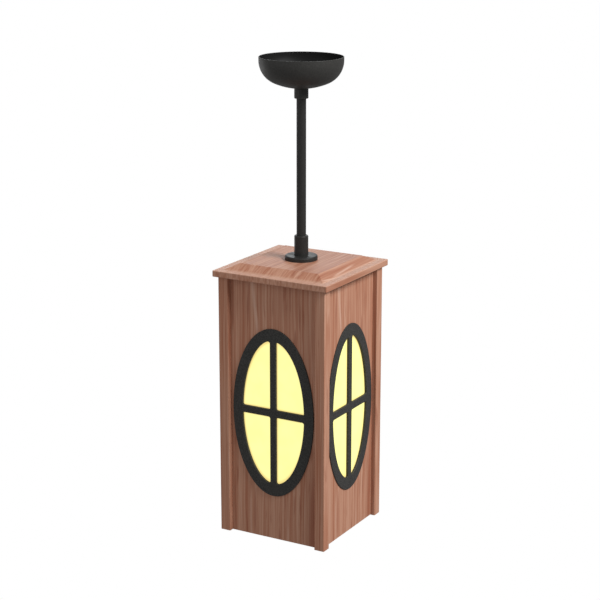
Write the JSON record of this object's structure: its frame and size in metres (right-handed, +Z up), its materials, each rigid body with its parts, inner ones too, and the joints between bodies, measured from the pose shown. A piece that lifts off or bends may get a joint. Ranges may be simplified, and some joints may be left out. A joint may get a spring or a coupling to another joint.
{
  "type": "hanging lantern",
  "caption": "Wooden box lantern with oval windows and a bevelled cap, on a rigid black stem with a round ceiling canopy.",
  "frame": {"origin": "centre of the hanging eye at the top of the stem, inside the canopy", "axes": "+Z up towards the ceiling, +X along the hanging eye's bore, the front face looks along -Y"},
  "size_m": [0.1766, 0.1766, 0.659],
  "materials": {
    "black_metal": "matte black powder coat",
    "frame_wood": "oiled reddish cedar, planed",
    "panel_wood": "oiled reddish cedar, upright grain",
    "pane_glass": "opal yellow, lit from inside",
    "plated_steel": "zinc plated",
    "brass": "bright, slightly dulled",
    "terminal_plastic": "natural nylon",
    "live_insulation": "brown insulation",
    "neutral_insulation": "blue insulation",
    "gasket_rubber": "black sponge rubber",
    "lampholder_plastic": "black moulded phenolic",
    "insert_ceramic": "white steatite",
    "bulb_glass": "clear, faintly warm",
    "insulator_glass": "black glass bead",
    "solder": "dull solder",
    "filament": "yellow phosphor, lit"
  },
  "bodies": {
    "lantern": {"cap_board": "frame_wood", "cap_flange": "black_metal", "corner_post_back_left": "frame_wood", "corner_post_back_right": "frame_wood", "corner_post_front_left": "frame_wood", "corner_post_front_right": "frame_wood", "earth_screw": "plated_steel", "hanging_eye": "plated_steel", "hollow_nipple": "plated_steel", "lampholder_cap": "lampholder_plastic", "lampholder_contact": "brass", "lampholder_insert": "insert_ceramic", "lampholder_skirt": "lampholder_plastic", "lampholder_sleeve": "brass", "live_lead": "live_insulation", "neutral_lead": "neutral_insulation", "nipple_nut": "plated_steel", "nipple_washer": "plated_steel", "pane_gasket_back": "gasket_rubber", "pane_gasket_front": "gasket_rubber", "pane_gasket_left": "gasket_rubber", "pane_gasket_right": "gasket_rubber", "pane_retainer_back": "plated_steel", "pane_retainer_front": "plated_steel", "pane_retainer_left": "plated_steel", "pane_retainer_right": "plated_steel", "panel_back": "panel_wood", "panel_front": "panel_wood", "panel_left": "panel_wood", "panel_right": "panel_wood", "rail_screws": "plated_steel", "retainer_screws": "plated_steel", "stem_sleeve": "black_metal", "stem_tube": "black_metal", "terminal_block": "terminal_plastic", "terminal_bracket": "plated_steel", "terminal_inserts": "brass", "terminal_screws": "brass", "top_rail_back": "frame_wood", "top_rail_front": "frame_wood", "top_rail_left": "frame_wood", "top_rail_right": "frame_wood", "window_frame_back": "black_metal", "window_frame_front": "black_metal", "window_frame_left": "black_metal", "window_frame_right": "black_metal", "window_pane_back": "pane_glass", "window_pane_front": "pane_glass", "window_pane_left": "pane_glass", "window_pane_right": "pane_glass"},
    "canopy": {"canopy_cup": "black_metal", "canopy_collar": "black_metal", "canopy_ring_nut": "black_metal"},
    "canopy_screw": {"canopy_grub_screw": "plated_steel"},
    "bulb": {"bulb_base": "brass", "bulb_filaments": "filament", "bulb_globe": "bulb_glass", "bulb_insulator": "insulator_glass", "bulb_tip": "solder"}
  },
  "joints": [
    {"name": "canopy_slide", "type": "slide", "parent": "lantern", "child": "canopy", "axis": [0, 0, -1], "range_m": [0, 0.186]},
    {"name": "canopy_screw_travel", "type": "slide", "parent": "canopy", "child": "canopy_screw", "axis": [0, 1, 0], "range_m": [0, 0.003]},
    {"name": "bulb_removal", "type": "slide", "parent": "lantern", "child": "bulb", "axis": [0, 0, -1], "range_m": [0, 0.29]}
  ]
}
